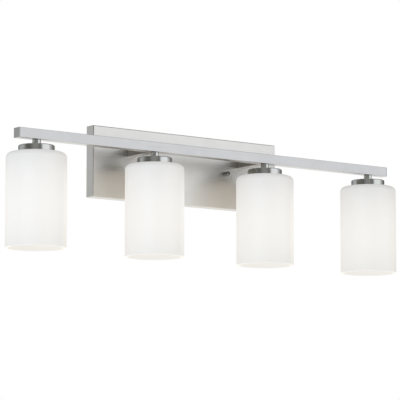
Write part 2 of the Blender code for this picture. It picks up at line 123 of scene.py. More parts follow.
def makeCamera():
    lens = bpy.data.cameras.new("camera")
    lens.lens = studio["lens"]
    lens.sensor_width = studio["sensor"]
    lens.clip_end = 100
    camera = addObject("camera", lens)
    camera.location = studio["cameraPlace"]
    camera.rotation_euler = (math.radians(90 + studio["cameraTilt"]), 0, math.radians(-studio["cameraTurn"]))
    scene.camera = camera


def softEdge(owner, value, middle, half, edge):
    # 1 within half of the middle, fading smoothly to 0 across twice the edge
    offset = addNode(owner, "Math", {0: value}, {1: middle}, operation="SUBTRACT")
    distance = addNode(owner, "Math", {0: offset.outputs[0]}, operation="ABSOLUTE")
    bounds = {"From Min": half + edge, "From Max": half - edge}
    return addNode(owner, "MapRange", {"Value": distance.outputs[0]}, bounds, interpolation_type="SMOOTHSTEP")


def makeWorld():
    # a white backdrop for the eye, and for everything else a dim room with soft boxes of light
    world = bpy.data.worlds.new("studio")
    scene.world = world
    world.use_nodes = True
    world.node_tree.nodes.clear()
    direction = addNode(world, "TexCoord").outputs["Generated"]
    parts = addNode(world, "SeparateXYZ", {0: direction})
    azimuth = addNode(world, "Math", {0: parts.outputs["Y"], 1: parts.outputs["X"]}, operation="ARCTAN2")
    elevation = addNode(world, "Math", {0: parts.outputs["Z"]}, operation="ARCSINE")
    light = addNode(world, "CombineXYZ", values=dict(zip("XYZ", studio["surroundings"]))).outputs[0]
    for box in studio["softBoxes"]:
        angle = {name: math.radians(value) for name, value in box.items() if name != "light"}
        across = softEdge(world, azimuth.outputs[0], angle["azimuth"], angle["halfWidth"], angle["edge"])
        upward = softEdge(world, elevation.outputs[0], angle["elevation"], angle["halfHeight"], angle["edge"])
        shape = addNode(world, "Math", {0: across.outputs[0], 1: upward.outputs[0]}, operation="MULTIPLY")
        light = addNode(world, "VectorMath", {0: shape.outputs[0], 2: light}, {1: box["light"]},
                        operation="MULTIPLY_ADD").outputs[0]
    room = addNode(world, "Background", {"Color": light})
    backdrop = addNode(world, "Background", values={"Color": (1, 1, 1, 1)})
    ray = addNode(world, "LightPath")
    both = addNode(world, "MixShader", {0: ray.outputs["Is Camera Ray"], 1: room.outputs[0],
                                        2: backdrop.outputs[0]})
    addNode(world, "OutputWorld", {"Surface": both.outputs[0]})


def makeFillLight():
    # a broad lamp from the left that only shades matt surfaces, so that the metal keeps its dark side
    lamp = bpy.data.lights.new("leftFill", "AREA")
    lamp.size = studio["fillSize"]
    lamp.energy = studio["fillPower"]
    lamp.color = studio["fillColor"]
    fill = addObject("leftFill", lamp)
    fill.location = studio["fillPlace"]
    aim = -fill.location
    fill.rotation_euler = aim.to_track_quat("-Z", "Y").to_euler()
    fill.visible_camera = False
    fill.visible_glossy = False


# for each turning axis, the two directions across it and the one along it
axes = {
    "up": ((1, 0, 0), (0, 1, 0), (0, 0, 1)),
    "room": ((1, 0, 0), (0, 0, 1), (0, -1, 0)),
    "bar": ((0, 1, 0), (0, 0, 1), (1, 0, 0)),
}


def fillet(corners, steps=4):
    # corners are (across, along, radius). With u and v the unit vectors to its neighbours and h half the
    # angle between them, a corner becomes the arc about the point radius / sin h away along u + v
    table = np.array([(*corner, 0)[:3] for corner in corners], float)
    spots = table[:, :2]
    points = []
    for spot, before, after, radius in zip(spots, np.roll(spots, 1, 0), np.roll(spots, -1, 0), table[:, 2]):
        if radius == 0:
            points.append(spot[None])
            continue
        u = (before - spot) / np.linalg.norm(before - spot)
        v = (after - spot) / np.linalg.norm(after - spot)
        half = math.acos(u @ v) / 2
        middle = spot + (u + v) / np.linalg.norm(u + v) * radius / math.sin(half)
        start = spot + u * radius / math.tan(half) - middle
        end = spot + v * radius / math.tan(half) - middle
        sweep = math.pi - 2 * half
        t = np.linspace(0, 1, steps + 1)[:, None]
        points.append(middle + (np.sin((1 - t) * sweep) * start + np.sin(t * sweep) * end) / math.sin(sweep))
    return np.concatenate(points)


def divide(profile, step):
    # splits the profile's edges so that none is longer than the step
    lengths = np.linalg.norm(np.diff(profile, axis=0), axis=1)
    counts = np.maximum(1, np.ceil(lengths / step)).astype(int)
    places = [start + np.arange(count) / count for start, count in enumerate(counts)]
    places = np.append(np.concatenate(places), len(profile) - 1)
    stations = np.arange(len(profile))
    return np.stack([np.interp(places, stations, column) for column in profile.T], axis=1)


def divideLoop(profile, step):
    # the same for a profile that closes on itself
    return divide(np.vstack([profile, profile[:1]]), step)[:-1]


def joinGrid(points, closed):
    # outward quads between neighbouring points of a grid of rings; closed joins the last ring to the first
    rows, columns = points.shape[:2]
    index = np.arange(rows * columns).reshape(rows, columns)
    beside = np.roll(index, -1, axis=1)
    faces = np.stack([index, beside, np.roll(beside, -1, axis=0), np.roll(index, -1, axis=0)], axis=-1)
    if not closed:
        faces = faces[:-1]
    points = points.reshape(-1, 3)
    faces = faces.reshape(-1, 4)
    a, b, c, d = (points[faces[:, corner]] for corner in range(4))
    volume = np.sum(a * np.cross(b, c)) + np.sum(a * np.cross(c, d))
    return points, faces if volume > 0 else faces[:, ::-1]


def turn(profile, count, place, axis="up", ripple=None, closed=True):
    # a profile point (radius, height) at angle a stands at place + radius (cos a, sin a) across the axis
    # + height along it; ripple(radius, height, a) is added to the radius
    one, two, along = (np.array(vector, float) for vector in axes[axis])
    angle = np.linspace(0, fullTurn, count, endpoint=False)[None]
    radius = profile[:, :1] + 0 * angle
    height = profile[:, 1:] + 0 * angle
    if ripple:
        radius = radius + ripple(radius, height, angle)
    ring = np.cos(angle)[..., None] * one + np.sin(angle)[..., None] * two
    return joinGrid(np.array(place) + radius[..., None] * ring + height[..., None] * along, closed)


def turnSquare(profile, halves, corner, place, axis, steps=5, closed=True, tightest=0.0002):
    # a profile point (inset, height) goes round a rectangle with rounded corners, whose half sides and
    # corner radius are smaller by the inset
    one, two, along = (np.array(vector, float) for vector in axes[axis])
    inset = profile[:, :1]
    height = profile[:, 1:]
    reach = np.array(halves)[None] - inset
    smallest = np.minimum(tightest, reach.min(axis=1, keepdims=True))
    radius = np.maximum(corner - inset, smallest)
    quarter = np.repeat(np.arange(4), steps + 1)[None]
    angle = (quarter + np.tile(np.linspace(0, 1, steps + 1), 4)[None]) * math.pi / 2
    middle = (quarter + 0.5) * math.pi / 2
    first = (reach[:, :1] - radius) * np.sign(np.cos(middle)) + radius * np.cos(angle)
    second = (reach[:, 1:] - radius) * np.sign(np.sin(middle)) + radius * np.sin(angle)
    points = first[..., None] * one + second[..., None] * two + (height + 0 * first)[..., None] * along
    return joinGrid(np.array(place) + points, closed)


def smoothRoute(stops, count):
    # Catmull-Rom curve through the stops: between two of them, a cubic in t whose slope at each is half
    # the way from the stop before it to the stop after it
    stops = np.array(stops, float)
    padded = np.vstack([2 * stops[0] - stops[1], stops, 2 * stops[-1] - stops[-2]])
    before, start, end, after = (padded[first:len(padded) - 3 + first, None] for first in range(4))
    t = (np.arange(count) / count)[None, :, None]
    bend = 2 * before - 5 * start + 4 * end - after
    twist = 3 * start - before - 3 * end + after
    curve = (2 * start + (end - before) * t + bend * t ** 2 + twist * t ** 3) / 2
    return np.vstack([curve.reshape(-1, 3), stops[-1]])


def carry(route, radius, count=14, lean=(0.31, 0.22, 0.92)):
    # circles square to the route, each turned by crossing the route's direction with one fixed leaning
    # vector; at both ends the circle shrinks to a point in two steps, which closes the tube
    direction = np.gradient(route, axis=0)
    direction /= np.linalg.norm(direction, axis=1, keepdims=True)
    side = np.cross(direction, lean)
    side /= np.linalg.norm(side, axis=1, keepdims=True)
    up = np.cross(direction, side)
    ends = np.array([0, 0, *range(len(route)), -1, -1])
    size = np.array([0, 0.75, *[1] * len(route), 0.75, 0]) * radius
    push = np.array([-0.5, -0.35, *[0] * len(route), 0.35, 0.5]) * radius
    angle = np.linspace(0, fullTurn, count, endpoint=False)[None, :, None]
    ring = np.cos(angle) * side[ends][:, None] + np.sin(angle) * up[ends][:, None]
    middle = (route[ends] + direction[ends] * push[:, None])[:, None]
    return joinGrid(middle + ring * size[:, None, None], False)


def makeMesh(name, shapes, sharpAngle):
    vertices = np.concatenate([points for points, faces in shapes])
    starts = np.cumsum([0] + [len(points) for points, faces in shapes[:-1]])
    faces = np.concatenate([faces + start for (points, faces), start in zip(shapes, starts)])
    mesh = bpy.data.meshes.new(name)
    mesh.from_pydata(vertices.tolist(), [], faces.tolist())
    finishMesh(mesh, sharpAngle)
    return mesh


def finishMesh(mesh, sharpAngle):
    # merges the rings that shrink to a point, then shades round stretches smooth
    form = bmesh.new()
    form.from_mesh(mesh)
    bmesh.ops.remove_doubles(form, verts=form.verts, dist=1e-7)
    bmesh.ops.dissolve_degenerate(form, edges=form.edges, dist=1e-8)
    form.to_mesh(mesh)
    form.free()
    mesh.shade_smooth()
    mesh.set_sharp_from_angle(angle=math.radians(sharpAngle))


def addPiece(name, shapes, node, material, holes=(), sharpAngle=32, steady=True):
    # makes a piece out of closed surfaces, drills it, and lets it stand for its CAD node and ride its body
    piece = addObject(name, makeMesh(name, shapes, sharpAngle))
    if holes:
        drill(piece, holes, sharpAngle)
    piece.data.materials.clear()
    piece.data.materials.append(material)
    if steady:   # large flat faces keep their own normals beside the small round edges
        flats = piece.modifiers.new("steadyFlats", "WEIGHTED_NORMAL")
        flats.keep_sharp = True
    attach(piece, bodyOf[node])
    if node not in stoodFor:
        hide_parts(node)
        stoodFor.add(node)


def addThreaded(name, shapes, node, material):
    # a piece with a screw thread, whose flanks are shaded smooth
    addPiece(name, shapes, node, material, sharpAngle=60, steady=False)


def drillBit(radius, reach, place, axis, segments=48):
    # a cylinder that cuts a round hole, reaching as far to both sides of the place
    outline = np.array([(0, -reach), (radius, -reach), (radius, reach), (0, reach)])
    return turn(outline, segments, place, axis, closed=False)


def drill(piece, holes, sharpAngle):
    # cuts each closed surface out of the piece
    tools = []
    for number, hole in enumerate(holes):
        tool = addObject(f"drill{number}", makeMesh(f"drill{number}", [hole], sharpAngle))
        change = piece.modifiers.new(f"hole{number}", "BOOLEAN")
        change.operation = "DIFFERENCE"
        change.solver = "EXACT"
        change.object = tool
        tools.append(tool)
    bpy.context.view_layer.update()
    graph = bpy.context.evaluated_depsgraph_get()
    drilled = bpy.data.meshes.new_from_object(piece.evaluated_get(graph))
    piece.modifiers.clear()
    piece.data = drilled
    for tool in tools:
        bpy.data.objects.remove(tool)
    finishMesh(drilled, sharpAngle)


def thread(pitch, depth, low, high, inner):
    # a screw thread on what lies outside the inner radius: between low and high the radius falls by
    # depth (1 + cos(2 pi height / pitch + angle)) / 2, and the wave fades over one pitch at each end
    def ripple(radius, height, angle):
        wave = (1 + np.cos(fullTurn * height / pitch + angle)) / 2
        fade = np.clip((height - low) / pitch, 0, 1) * np.clip((high - height) / pitch, 0, 1)
        return -depth * wave * fade * (radius > inner)
    return ripple


def turnThreaded(profile, look, low, high, inner, place, axis="up", closed=True):
    # turns a profile with a screw thread outside the inner radius; the look gives the points for each turn
    split = divideLoop if closed else divide
    profile = split(profile, look["pitch"] / look["steps"])
    wave = thread(look["pitch"], look["depth"], low, high, inner)
    return turn(profile, look["segments"], place, axis, wave, closed)


def ridges(number, depth, low, high, inner):
    # straight ridges on what lies outside the inner radius, as deep as depth, between two heights
    def ripple(radius, height, angle):
        wave = 1 - np.abs(np.cos(number * angle / 2))
        within = (height > low) & (height < high) & (radius > inner)
        return -depth * wave * within
    return ripple


def hexagon(apothem):
    # keeps the radius inside a hexagon: no more than apothem / cos of the angle from the nearest flat
    def ripple(radius, height, angle):
        offset = (angle + math.pi / 6) % (math.pi / 3) - math.pi / 6
        return np.minimum(radius, apothem / np.cos(offset)) - radius
    return ripple


def middleOf(node):
    low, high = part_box(node)
    return (low + high) / 2


def halfWidth(node):
    # half of the node's size along X, which is a round piece's radius
    low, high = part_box(node)
    return (high.x - low.x) / 2


def measureOut(node):
    # the length of a piece that stands out from the wall, half its width, and the middle of its wall end
    low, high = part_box(node)
    middle = middleOf(node)
    return high.y - low.y, (high.x - low.x) / 2, (middle.x, high.y, middle.z)


def measure(node, about=None):
    # a round upright piece's foot, top and radius, and its axis at height 0, which may be another node's
    low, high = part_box(node)
    middle = middleOf(about or node)
    return low.z, high.z, (high.x - low.x) / 2, (middle.x, middle.y, 0)


def hang(outline, height):
    # an outline of (radius, drop, corner radius), the drop measured down from a height
    return fillet([(radius, height - drop, *corner) for radius, drop, *corner in outline])


bodyOf = {node: body for body, nodes in frame["record"]["behaviour"]["bodies"].items() for node in nodes}
stoodFor = set()


def startMaterial(name, code, metallic, roughness):
    material = bpy.data.materials.new(name)
    material.use_nodes = True
    shader = material.node_tree.nodes["Principled BSDF"]
    setInputs(shader, values={"Base Color": hexColor(code), "Metallic": metallic, "Roughness": roughness})
    return material, shader


def grain(material, size, detail=2.0, seed=0.0):
    # noise on the object's own coordinates, whose patches measure size in metres: one for all axes, or three
    size = np.broadcast_to(size, 3).tolist()
    place = addNode(material, "TexCoord").outputs["Object"]
    scaled = addNode(material, "Mapping", {"Vector": place},
                     {"Scale": [1 / length for length in size], "Location": (seed, seed, seed)})
    noise = addNode(material, "TexNoise", {"Vector": scaled.outputs[0]}, {"Scale": 1.0, "Detail": detail})
    return noise.outputs["Fac"]


def between(material, value, low, high, start=0.3, end=0.7):
    # maps the noise's usual span, start to end, onto low to high
    limits = {"From Min": start, "From Max": end, "To Min": low, "To Max": high}
    return addNode(material, "MapRange", {"Value": value}, limits).outputs[0]


def heightShare(material, node, waver):
    # 0 at the node's foot and 1 at its top, with a little waver added
    low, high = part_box(node)
    place = addNode(material, "TexCoord").outputs["Object"]
    height = addNode(material, "SeparateXYZ", {0: place}).outputs["Z"]
    limits = {"From Min": low.z, "From Max": high.z}
    share = addNode(material, "MapRange", {"Value": height}, limits).outputs[0]
    return addNode(material, "Math", {0: share, 1: waver}, operation="ADD").outputs[0]


def tint(material, shader, value, darker, lighter, socket="Base Color"):
    # mixes two colours by the value
    colors = {6: hexColor(darker), 7: hexColor(lighter)}
    mix = addNode(material, "Mix", {"Factor": value}, colors, data_type="RGBA")
    setInputs(shader, {socket: mix.outputs[2]})


def emboss(material, shader, value, depth, strength):
    # raises the surface by the value
    bump = addNode(material, "Bump", {"Height": value}, {"Distance": depth, "Strength": strength})
    setInputs(shader, {"Normal": bump.outputs[0]})


nickelLook = {
    "lineWidth": 0.0007,       # real brushing lines are finer: these are as coarse as they show
    "lineLength": 0.05,
    "cloud": 0.03,
    "cloudSeed": 7.0,
    "depth": 0.00001,
    "strength": 0.35,
}


def makeNickel(name, along, smoothest, roughest, darker, lighter):
    # satin nickel plate over brushed steel: a pale, slightly warm metal whose fine brushing lines run one
    # way, so that reflections blur and the tone varies from line to line
    look = nickelLook
    material, shader = startMaterial(name, lighter, 1.0, smoothest)
    size = [look["lineLength" if letter in along else "lineWidth"] for letter in "xyz"]
    lines = grain(material, size, 3.0)
    clouds = grain(material, look["cloud"], seed=look["cloudSeed"])
    mixed = addNode(material, "Math", {0: lines, 1: clouds}, operation="ADD")
    tone = between(material, mixed.outputs[0], 0.0, 1.0, start=0.7, end=1.3)
    tint(material, shader, tone, darker, lighter)
    setInputs(shader, {"Roughness": between(material, lines, smoothest, roughest)})
    emboss(material, shader, lines, look["depth"], look["strength"])
    return material


opalLook = {
    # painted glow, standing in for the lamp's light through the glass, from the foot of the shade to its top:
    # share of the height, sRGB colour
    "glow": ((0.0, "C7C2BA"), (0.10, "CCC7BF"), (0.30, "D4CEC6"), (0.55, "D4CFC7"), (0.80, "CAC5BE"),
             (0.95, "BDB9B3"), (1.0, "B6B2AD")),
    "waver": 0.02,
    "waverSize": 0.03,
    # a grey body colour, so that the studio lamps shade the glass little beside its painted glow
    "body": "8D8F91",
    "specular": 0.3,
    "roughness": (0.34, 0.42),
    "etchSize": 0.002,
    "pitSize": 0.0012,
    "pitDepth": 0.00001,
    "pitStrength": 0.15,
}


def makeOpalGlass():
    # cased opal glass, white throughout and etched to a satin skin, drawn with a grey body colour. The light
    # of the lamp inside is painted on as a glow, strongest around the bulb's middle and weaker at the
    # shoulder
    look = opalLook
    smoothest, roughest = look["roughness"]
    material, shader = startMaterial("satinOpalGlass", look["body"], 0.0, (smoothest + roughest) / 2)
    waver = between(material, grain(material, look["waverSize"], 1.0), -look["waver"], look["waver"])
    ramp = addNode(material, "ValToRGB", {"Fac": heightShare(material, "shade_1", waver)})
    ramp.color_ramp.interpolation = "B_SPLINE"
    stops = ramp.color_ramp.elements
    while len(stops) < len(look["glow"]):
        stops.new(0.5)
    for stop, (position, code) in zip(stops, look["glow"]):
        stop.position = position
        stop.color = hexColor(code)
    rough = between(material, grain(material, look["etchSize"]), smoothest, roughest)
    # painted glow: the emission colour follows the height, brightest around the bulb's middle
    setInputs(shader, {"Emission Color": ramp.outputs["Color"], "Roughness": rough},
              {"Specular IOR Level": look["specular"], "Emission Strength": 1.0})
    pits = grain(material, look["pitSize"])
    emboss(material, shader, pits, look["pitDepth"], look["pitStrength"])
    return material


lampGlassLook = {
    "body": "A8A296",
    "roughness": 0.3,
    "glow": ("FFF0D8", "F0DDB8"),      # at the round end and at the neck
    "strength": 0.85,
    "waver": 0.05,
    "waverSize": 0.01,
}


def makeLampGlass():
    # a frosted lamp envelope, lit: etched on the inside, so it glows evenly, a little less at the neck
    look = lampGlassLook
    material, shader = startMaterial("frostedLampGlass", look["body"], 0.0, look["roughness"])
    waver = between(material, grain(material, look["waverSize"]), -look["waver"], look["waver"])
    share = heightShare(material, "bulb_glass_1", waver)
    tint(material, shader, share, *look["glow"], "Emission Color")
    setInputs(shader, values={"Emission Strength": look["strength"]})
    return material


def makeMottled(name, darker, lighter, metallic, smoothest, roughest, size, depth=0.000004, strength=0.3):
    # one body colour with a faint mottle, and the same mottle in its gloss and its surface
    material, shader = startMaterial(name, lighter, metallic, smoothest)
    spots = grain(material, size)
    tint(material, shader, between(material, spots, 0.0, 1.0), darker, lighter)
    setInputs(shader, {"Roughness": between(material, spots, smoothest, roughest)})
    emboss(material, shader, spots, depth, strength)
    return material


def makeMaterials():
    return {
        # the bar, the arms and the plate are one nickel drawn in different tones: the bar's and the arms'
        # darker and the plate's lighter, painted shade and light that set their brightness apart
        "barNickel": makeNickel("brushedNickelAlongBar", "x", 0.18, 0.26, "B8B5B2", "BFBCB9"),
        "armNickel": makeNickel("brushedNickelAlongArm", "y", 0.18, 0.26, "B3B0AD", "BAB7B4"),
        "plateNickel": makeNickel("brushedNickelPlate", "x", 0.33, 0.40, "D1CDC6", "D7D3CD"),
        # spun parts are brushed while they turn, so their lines run round them
        "spunNickel": makeNickel("spunNickel", "xy", 0.14, 0.24, "BFBDB8", "CBC9C3"),
        # small turned parts are polished, so they reflect sharply; their tone is darker than the rest, a
        # painted shade for the dark surroundings they reflect
        "shadedTurnedNickel": makeNickel("shadedTurnedNickel", "xz", 0.05, 0.10, "7C7B79", "898886"),
        "opal": makeOpalGlass(),
        "lampGlass": makeLampGlass(),
        # glazed electrical porcelain: near white, with a wet-looking skin
        "porcelain": makeMottled("glazedPorcelain", "E4E1D8", "EFECE4", 0.0, 0.12, 0.22, 0.004),
        # drawn brass, lightly tarnished in patches
        "brass": makeMottled("drawnBrass", "B48A45", "D6B36A", 1.0, 0.22, 0.38, 0.003),
        # turned aluminium, bare and slightly dull
        "aluminium": makeMottled("turnedAluminium", "B9BABB", "D2D3D4", 1.0, 0.28, 0.42,
                                 (0.02, 0.02, 0.0005)),
        # bright zinc plate on steel: bluish, with the patchy sheen of barrel plating
        "zinc": makeMottled("zincPlatedSteel", "9FA6AE", "C3C9CF", 1.0, 0.26, 0.46, 0.004),
        # earth screw in green lacquer over steel
        "green": makeMottled("greenLacqueredSteel", "1F6B33", "2F8A45", 0.35, 0.28, 0.42, 0.002),
        # bare copper wire, browned by handling
        "copper": makeMottled("bareCopper", "A8623F", "CE8459", 1.0, 0.24, 0.42, 0.002),
        # soft PVC wire insulation
        "blackPvc": makeMottled("blackPvc", "17181A", "232427", 0.0, 0.36, 0.5, 0.003),
        "whitePvc": makeMottled("whitePvc", "D9D8D2", "E7E6E1", 0.0, 0.36, 0.5, 0.003),
        # moulded nylon twist-on connectors
        "orangeNylon": makeMottled("orangeNylon", "C85A12", "E0701C", 0.0, 0.34, 0.48, 0.002),
        "yellowNylon": makeMottled("yellowNylon", "D1A412", "E6BC25", 0.0, 0.34, 0.48, 0.002),
        # fused dark glass that insulates a lamp base, and the tin solder of its contact
        "vitrite": makeMottled("darkVitrite", "1B1618", "2A2226", 0.0, 0.14, 0.3, 0.002),
        "solder": makeMottled("tinSolder", "9C9C98", "BDBDB8", 1.0, 0.3, 0.5, 0.0015),
    }


plateLook = {"sheet": 0.0012, "fold": 0.0018, "corner": 0.0014, "edge": 0.0003, "drill": 0.005}


def makeBackPlate():
    # a pan folded from sheet steel, open to the wall, with its folds rounded outside and inside
    low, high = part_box("back_plate")
    sheet = plateLook["sheet"]
    halves = ((high.x - low.x) / 2, (high.z - low.z) / 2)
    depth = high.y - low.y
    profile = fillet([
        (halves[1], depth), (0, depth, plateLook["fold"]), (0, 0, plateLook["edge"]),
        (sheet, 0, plateLook["edge"]), (sheet, depth - sheet, plateLook["edge"]), (halves[1], depth - sheet),
    ])
    pan = turnSquare(profile, halves, plateLook["corner"], (0, 0, 0), "room", closed=False)
    holes = []
    for side in sides:
        for node, room in ((f"arm_pipe_{side}", gap), (f"plate_stud_{side}", 2 * gap)):
            middle = middleOf(node)
            place = (middle.x, low.y, middle.z)
            holes.append(drillBit(halfWidth(node) + room, plateLook["drill"], place, "room"))
    addPiece("backPlatePan", [pan], "back_plate", paint["plateNickel"], holes)


strapLook = {"slotLength": 0.012, "slotHeight": 0.0048, "slotSpacing": 0.0889, "slotRound": 0.98,
             "edge": 0.0003, "corner": 0.003, "earthX": 0.02, "earthZ": -0.006, "earthHole": 0.0023,
             "drill": 0.006}


def makeStrap():
    # a flat steel bar with rounded corners, two slots for the wall box's screws, and holes for the studs
    look = strapLook
    low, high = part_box("mounting_strap")
    halves = ((high.x - low.x) / 2, (high.z - low.z) / 2)
    thickness = high.y - low.y
    edge = look["edge"]
    profile = fillet([(halves[1], 0), (0, 0, edge), (0, thickness, edge), (halves[1], thickness)])
    flat = turnSquare(profile, halves, look["corner"], (0, 0, 0), "room", closed=False)
    slotHalves = (look["slotLength"] / 2, look["slotHeight"] / 2)
    reach = look["drill"]
    through = np.array([(slotHalves[1], -reach), (0, -reach), (0, reach), (slotHalves[1], reach)])
    holes = []
    slotCorner = slotHalves[1] * look["slotRound"]
    for sign, side in zip((-1, 1), sides):
        place = (sign * look["slotSpacing"] / 2, 0, 0)
        holes.append(turnSquare(through, slotHalves, slotCorner, place, "room", closed=False))
        stud = f"plate_stud_{side}"
        place = (middleOf(stud).x, 0, middleOf(stud).z)
        holes.append(drillBit(halfWidth(stud) + gap, reach, place, "room"))
    place = (look["earthX"], 0, look["earthZ"])
    holes.append(drillBit(look["earthHole"], reach, place, "room"))
    addPiece("wallStrap", [flat], "mounting_strap", paint["zinc"], holes)


hexNutLook = {"chamferShare": 0.8, "slope": 0.6, "step": 0.0008, "segments": 96}


def makeHexNut(name, node, bore):
    # a hexagon nut about the room axis; both faces are cut back by a cone at the six points
    height, tip, place = measureOut(node)
    apothem = tip * math.cos(math.pi / 6)
    chamfer = (tip - apothem) * hexNutLook["chamferShare"]
    rise = chamfer * hexNutLook["slope"]
    profile = fillet([
        (bore, chamfer / 2), (bore + chamfer / 2, 0), (tip - chamfer, 0), (tip, rise), (tip, height - rise),
        (tip - chamfer, height), (bore + chamfer / 2, height), (bore, height - chamfer / 2),
    ])
    profile = divideLoop(profile, hexNutLook["step"])
    nut = turn(profile, hexNutLook["segments"], place, "room", hexagon(apothem))
    addPiece(name, [nut], node, paint["zinc"])


# core is the share of the radius inside which a surface keeps clear of the thread
studLook = {"bore": 0, "chamfer": 0.0004, "pitch": 0.0008, "depth": 0.0004, "steps": 8, "core": 0.8,
            "segments": 32}
armPipeLook = {"bore": 0.0036, "chamfer": 0.0004, "pitch": 0.001, "depth": 0.0005, "steps": 8, "core": 0.9,
               "segments": 48}
lampPipeLook = {**armPipeLook, "segments": 40}


def makeRod(name, node, look, radius, place, axis, low, high):
    # a threaded rod between two heights along its axis, hollow where the look gives it a bore
    bore = look["bore"]
    chamfer = look["chamfer"]
    profile = fillet([(bore, low), (radius, low, chamfer), (radius, high, chamfer), (bore, high)])
    rod = turnThreaded(profile, look, low + chamfer, high - chamfer, radius * look["core"], place, axis,
                       closed=bore > 0)
    addThreaded(name, [rod], node, paint["zinc"])


def makeRods(side):
    # the stud that the plate is pulled on to and the hollow pipe that clamps the arm, each with its nut
    for rod, rodName, nut, nutName, look in (
        ("plate_stud", "stud", "stud_nut", "studNut", studLook),
        ("arm_pipe", "armPipe", "arm_nut", "armNut", armPipeLook),
    ):
        node = f"{rod}_{side}"
        length, radius, place = measureOut(node)
        makeRod(rodName + side.capitalize(), node, look, radius, place, "room", 0, length)
        makeHexNut(nutName + side.capitalize(), f"{nut}_{side}", radius + gap)


capNutLook = {"bore": 0.0026, "blind": 0.0095, "chamfer": 0.0004, "round": 0.003, "segments": 72}


def makeCapNut(side):
    # a round nut, closed in front, with a well rounded edge
    look = capNutLook
    node = f"cap_nut_{side}"
    length, radius, place = measureOut(node)
    profile = fillet([
        (0, look["blind"]), (look["bore"], look["blind"]), (look["bore"], 0), (radius, 0, look["chamfer"]),
        (radius, length, look["round"]), (0, length),
    ], steps=8)
    shape = turn(profile, look["segments"], place, "room", closed=False)
    addPiece(f"capNut{side.capitalize()}", [shape], node, paint["shadedTurnedNickel"])


# the shank and the slot's length are shares of the head's radius
earthScrewLook = {"shank": 0.52, "tip": 0.0003, "headEdge": 0.0002, "dome": 0.0013, "segments": 48,
                  "slotLength": 1.2, "slotHalf": 0.0005, "slotDepth": 0.0009, "slotRise": 0.001,
                  "slotCorner": 0.0001}


def makeGroundScrew():
    # a green pan-head screw with a slot across its head
    look = earthScrewLook
    low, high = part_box("ground_screw")
    middle = middleOf("ground_screw")
    place = (middle.x, 0, middle.z)
    radius = halfWidth("ground_screw")
    seat = -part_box("mounting_strap")[0].y + gap
    head = -low.y
    shank = radius * look["shank"]
    profile = fillet([
        (0, -high.y), (shank, -high.y, look["tip"]), (shank, seat),
        (radius, seat, look["headEdge"]), (radius, head, look["dome"]), (0, head),
    ], steps=6)
    shape = turn(profile, look["segments"], place, "room", closed=False)
    halves = (radius * look["slotLength"], look["slotHalf"])
    bottom = head - look["slotDepth"]
    above = head + look["slotRise"]
    outline = np.array([(halves[1], bottom), (0, bottom), (0, above), (halves[1], above)])
    slot = turnSquare(outline, halves, look["slotCorner"], place, "room", steps=2, closed=False)
    addPiece("earthScrew", [shape], "ground_screw", paint["green"], [slot])


tubeLook = {"wall": 0.0012, "corner": 0.0006, "edge": 0.0002, "web": 0.003, "wireHole": 0.0045,
            "lampHole": 0.0053, "flange": 0.0012, "tongue": 0.0015, "flangeEdge": 0.0003}


def makeArms():
    # square tubes, each with a drilled web that closes its wall end
    wall = tubeLook["wall"]
    edge = tubeLook["edge"]
    for side in sides:
        node = f"arm_{side}"
        length, half, place = measureOut(node)
        profile = fillet([
            (half, 0), (0, 0, edge), (0, length, edge), (wall, length, edge), (wall, tubeLook["web"], edge),
            (half, tubeLook["web"]),
        ])
        tube = turnSquare(profile, (half, half), tubeLook["corner"], place, "room", closed=False)
        holes = [drillBit(tubeLook["lampHole"], half, place, "room")]
        addPiece(f"squareArm{side.capitalize()}", [tube], node, paint["armNickel"], holes)


def makeBar():
    # one long square tube, drilled below for each lamp and behind for the arms' wires
    low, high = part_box("light_bar")
    middle = middleOf("light_bar")
    half = (high.z - low.z) / 2
    reach = halfWidth("light_bar")
    edge = tubeLook["edge"]
    wall = tubeLook["wall"]
    profile = fillet([(0, -reach, edge), (0, reach, edge), (wall, reach, edge / 2), (wall, -reach, edge / 2)])
    tube = turnSquare(profile, (half, half), tubeLook["corner"], tuple(middle), "bar")
    holes = []
    for lamp in range(1, lampCount + 1):
        place = (middleOf(f"stem_{lamp}").x, middle.y, low.z)
        holes.append(drillBit(tubeLook["lampHole"], half / 2, place, "up"))
    for side in sides:
        place = (middleOf(f"arm_{side}").x, high.y, middle.z)
        holes.append(drillBit(tubeLook["wireHole"], half / 2, place, "room"))
    addPiece("squareLightBar", [tube], "light_bar", paint["barNickel"], holes)


def makeEndPlugs():
    # a flange as large as the tube, with softened edges, on a tongue that grips the tube inside
    edge = tubeLook["flangeEdge"]
    tongue = tubeLook["tongue"]
    for sign, side in zip((-1, 1), sides):
        node = f"bar_end_plug_{side}"
        low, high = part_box(node)
        half = (high.z - low.z) / 2
        middle = middleOf(node)
        outer, inner = (low.x, high.x) if sign < 0 else (high.x, low.x)
        shoulder = outer - sign * tubeLook["flange"]
        profile = fillet([
            (half, outer), (0, outer, edge), (0, shoulder, edge / 3), (tongue, shoulder),
            (tongue, inner, edge), (half, inner),
        ])
        place = (0, middle.y, middle.z)
        plug = turnSquare(profile, (half, half), tubeLook["corner"], place, "bar", closed=False)
        addPiece(f"barEndPlug{side.capitalize()}", [plug], node, paint["armNickel"])


shadeLook = {"wall": 0.004, "hole": 0.021, "lip": 0.0008, "shoulder": 0.009, "innerShoulder": 0.005,
             "rim": 0.0016, "steps": 10, "segments": 160}
capLook = {"wall": 0.0012, "hole": 0.0053, "lip": 0, "shoulder": 0.0018, "innerShoulder": 0.001,
           "rim": 0.0003, "steps": 8, "segments": 128}


def makeCup(name, node, material, look):
    # a cup, open below, with a hole in its top: the glass shade, or the spun cap above it
    foot, top, outer, place = measure(node)
    hole = look["hole"]
    inner = outer - look["wall"]
    ceiling = top - look["wall"]
    profile = fillet([
        (hole, top, look["lip"]), (outer, top, look["shoulder"]), (outer, foot, look["rim"]),
        (inner, foot, look["rim"]), (inner, ceiling, look["innerShoulder"]), (hole, ceiling, look["lip"]),
    ], look["steps"])
    addPiece(name, [turn(profile, look["segments"], place)], node, material)


stemLook = {"hole": 0.0053, "edge": 0.0005, "segments": 64}


